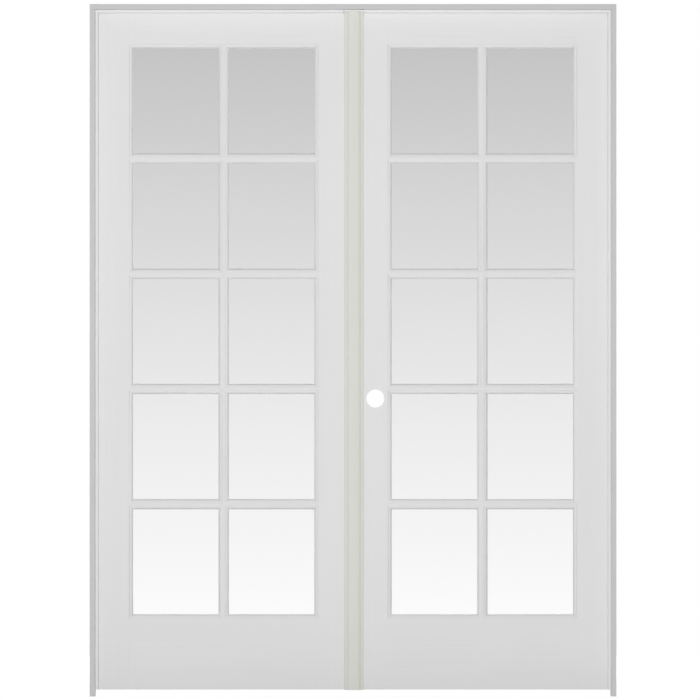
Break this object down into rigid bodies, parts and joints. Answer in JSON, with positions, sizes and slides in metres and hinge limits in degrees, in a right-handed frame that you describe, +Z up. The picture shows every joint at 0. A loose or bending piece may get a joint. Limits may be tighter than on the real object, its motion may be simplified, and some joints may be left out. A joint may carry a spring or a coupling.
{
  "type": "french doors",
  "caption": "Prehung pair of glazed french doors in a flat jamb frame: two divided-lite leaves on butt hinges, a moulded T-astragal and flush bolts.",
  "frame": {"origin": "middle of the unit's width and depth, on the floor under the jambs' feet", "axes": "+X from the inactive (left) leaf to the active (right) leaf, +Y from the push side to the hinge side, +Z up"},
  "size_m": [1.575, 0.129, 2.07],
  "materials": {
    "leaf_primer": "white primer, satin",
    "bead_primer": "white primer, satin",
    "stop_primer": "white primer, satin",
    "jamb_primer": "grey-white primer, matte",
    "astragal_primer": "cream-grey primer, satin",
    "clear_glass": "clear float glass",
    "satin_nickel": "satin nickel",
    "screw_steel": "plated steel",
    "bolt_steel": "satin nickel"
  },
  "bodies": {
    "frame": {"left_jamb": "jamb_primer", "right_jamb": "jamb_primer", "head_jamb": "jamb_primer", "left_stop": "stop_primer", "right_stop": "stop_primer", "left_head_stop": "stop_primer", "right_head_stop": "stop_primer", "frame_corner_screws": "screw_steel", "head_strike": "bolt_steel", "head_strike_screws": "screw_steel", "left_lower_hinge_frame_plate": "satin_nickel", "left_middle_hinge_frame_plate": "satin_nickel", "left_upper_hinge_frame_plate": "satin_nickel", "left_hinge_pins": "satin_nickel", "left_hinge_frame_screws": "screw_steel", "right_lower_hinge_frame_plate": "satin_nickel", "right_middle_hinge_frame_plate": "satin_nickel", "right_upper_hinge_frame_plate": "satin_nickel", "right_hinge_pins": "satin_nickel", "right_hinge_frame_screws": "screw_steel"},
    "inactive_leaf": {"left_hinge_stile": "leaf_primer", "left_meeting_stile": "leaf_primer", "left_top_rail": "leaf_primer", "left_bottom_rail": "leaf_primer", "left_upright_bar": "leaf_primer", "left_cross_bar_1": "leaf_primer", "left_cross_bar_2": "leaf_primer", "left_cross_bar_3": "leaf_primer", "left_cross_bar_4": "leaf_primer", "left_glass_panes": "clear_glass", "left_glazing_beads": "bead_primer", "left_hinge_leaf_screws": "screw_steel", "left_lower_hinge_leaf_plate": "satin_nickel", "left_middle_hinge_leaf_plate": "satin_nickel", "left_upper_hinge_leaf_plate": "satin_nickel", "astragal_cap": "astragal_primer", "astragal_stem": "astragal_primer", "astragal_screws": "screw_steel", "flush_bolt_screws": "screw_steel", "top_bolt_plate": "bolt_steel", "bottom_bolt_plate": "bolt_steel"},
    "active_leaf": {"right_hinge_stile": "leaf_primer", "right_meeting_stile": "leaf_primer", "right_top_rail": "leaf_primer", "right_bottom_rail": "leaf_primer", "right_upright_bar": "leaf_primer", "right_cross_bar_1": "leaf_primer", "right_cross_bar_2": "leaf_primer", "right_cross_bar_3": "leaf_primer", "right_cross_bar_4": "leaf_primer", "right_glass_panes": "clear_glass", "right_glazing_beads": "bead_primer", "right_hinge_leaf_screws": "screw_steel", "right_lower_hinge_leaf_plate": "satin_nickel", "right_middle_hinge_leaf_plate": "satin_nickel", "right_upper_hinge_leaf_plate": "satin_nickel"},
    "top_bolt": {"top_flush_bolt": "bolt_steel"},
    "bottom_bolt": {"bottom_flush_bolt": "bolt_steel"}
  },
  "joints": [
    {"name": "inactive_leaf_swing", "type": "hinge", "parent": "frame", "child": "inactive_leaf", "pos_m": [-0.77, 0.0585, 1], "axis": [0, 0, 1], "range_deg": [0, 170]},
    {"name": "active_leaf_swing", "type": "hinge", "parent": "frame", "child": "active_leaf", "pos_m": [0.77, 0.0585, 1], "axis": [0, 0, -1], "range_deg": [0, 170]},
    {"name": "top_bolt_slide", "type": "slide", "parent": "inactive_leaf", "child": "top_bolt", "axis": [0, 0, 1], "range_m": [0, 0.016]},
    {"name": "bottom_bolt_slide", "type": "slide", "parent": "inactive_leaf", "child": "bottom_bolt", "axis": [0, 0, -1], "range_m": [0, 0.016]}
  ]
}
